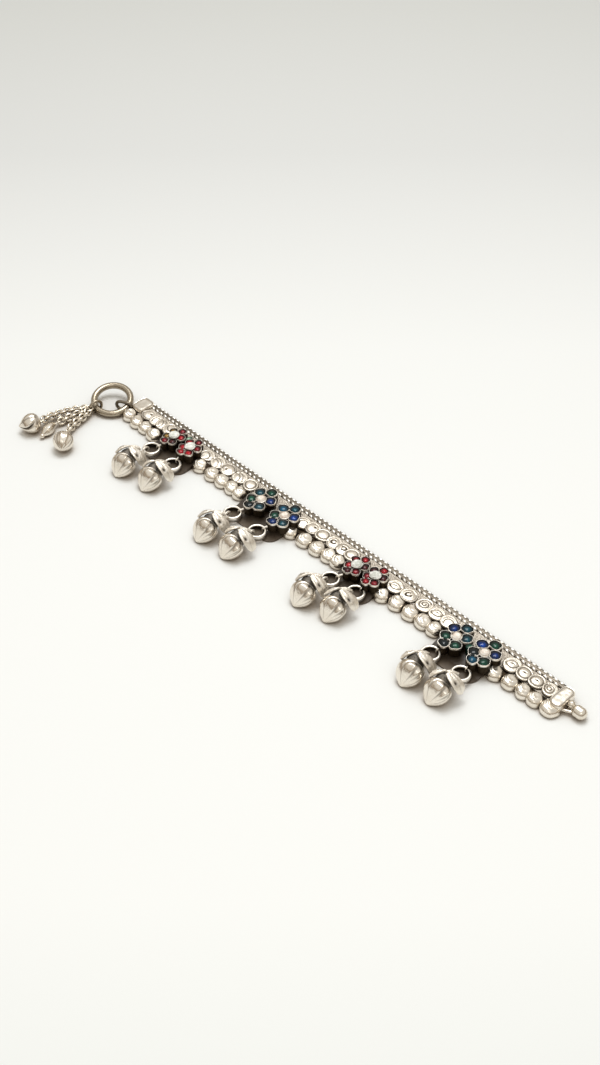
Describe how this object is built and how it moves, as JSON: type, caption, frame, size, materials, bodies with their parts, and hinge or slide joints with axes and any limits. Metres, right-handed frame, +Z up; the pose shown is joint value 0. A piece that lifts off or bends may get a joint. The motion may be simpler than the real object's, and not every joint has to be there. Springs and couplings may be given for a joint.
{
  "type": "anklet",
  "caption": "Silver anklet lying open and straight, with stamped discs, jewelled flowers, hanging buds, a closing ring with a tassel, and a hook.",
  "frame": {"origin": "middle of the whole anklet in plan, on the surface that it lies on", "axes": "+X along the band from the closing ring to the hook, +Y from the drops towards the band, +Z up"},
  "size_m": [0.255, 0.049, 0.0108],
  "materials": {
    "silver": "soft polished old silver, darker in its recesses",
    "dark_silver": "blackened silver with a glossy face",
    "red_stone": "domed red glass over foil",
    "blue_stone": "domed blue and green glass over foil",
    "green_stone": "small domed green glass",
    "clear_stone": "whitish cut stone"
  },
  "bodies": {
    "root": {"closing_ring": "silver", "left_end": "silver", "right_end": "silver", "hook": "silver", "mesh_band": "silver", "edge_braid": "silver", "oval_discs": "silver", "front_discs": "silver", "tassel_ring": "silver", "tassel_chain": "silver", "tassel_drop_1": "silver", "tassel_drop_2": "silver", "tassel_drop_3": "silver", "plate_1": "dark_silver", "plate_2": "dark_silver", "plate_3": "dark_silver", "plate_4": "dark_silver", "setting_1": "silver", "petal_stones_1": "red_stone", "centre_stone_1": "clear_stone", "drop_ring_1": "silver", "drop_1": "silver", "setting_2": "silver", "petal_stones_2": "red_stone", "centre_stone_2": "clear_stone", "drop_ring_2": "silver", "drop_2": "silver", "setting_3": "silver", "petal_stones_3": "blue_stone", "centre_stone_3": "clear_stone", "drop_ring_3": "silver", "drop_3": "silver", "setting_4": "silver", "petal_stones_4": "blue_stone", "centre_stone_4": "clear_stone", "drop_ring_4": "silver", "drop_4": "silver", "setting_5": "silver", "petal_stones_5": "red_stone", "centre_stone_5": "clear_stone", "drop_ring_5": "silver", "drop_5": "silver", "setting_6": "silver", "petal_stones_6": "red_stone", "centre_stone_6": "clear_stone", "drop_ring_6": "silver", "drop_6": "silver", "setting_7": "silver", "petal_stones_7": "blue_stone", "centre_stone_7": "clear_stone", "drop_ring_7": "silver", "drop_7": "silver", "setting_8": "silver", "petal_stones_8": "blue_stone", "centre_stone_8": "clear_stone", "drop_ring_8": "silver", "drop_8": "silver", "leaf_stones": "green_stone"}
  },
  "joints": []
}
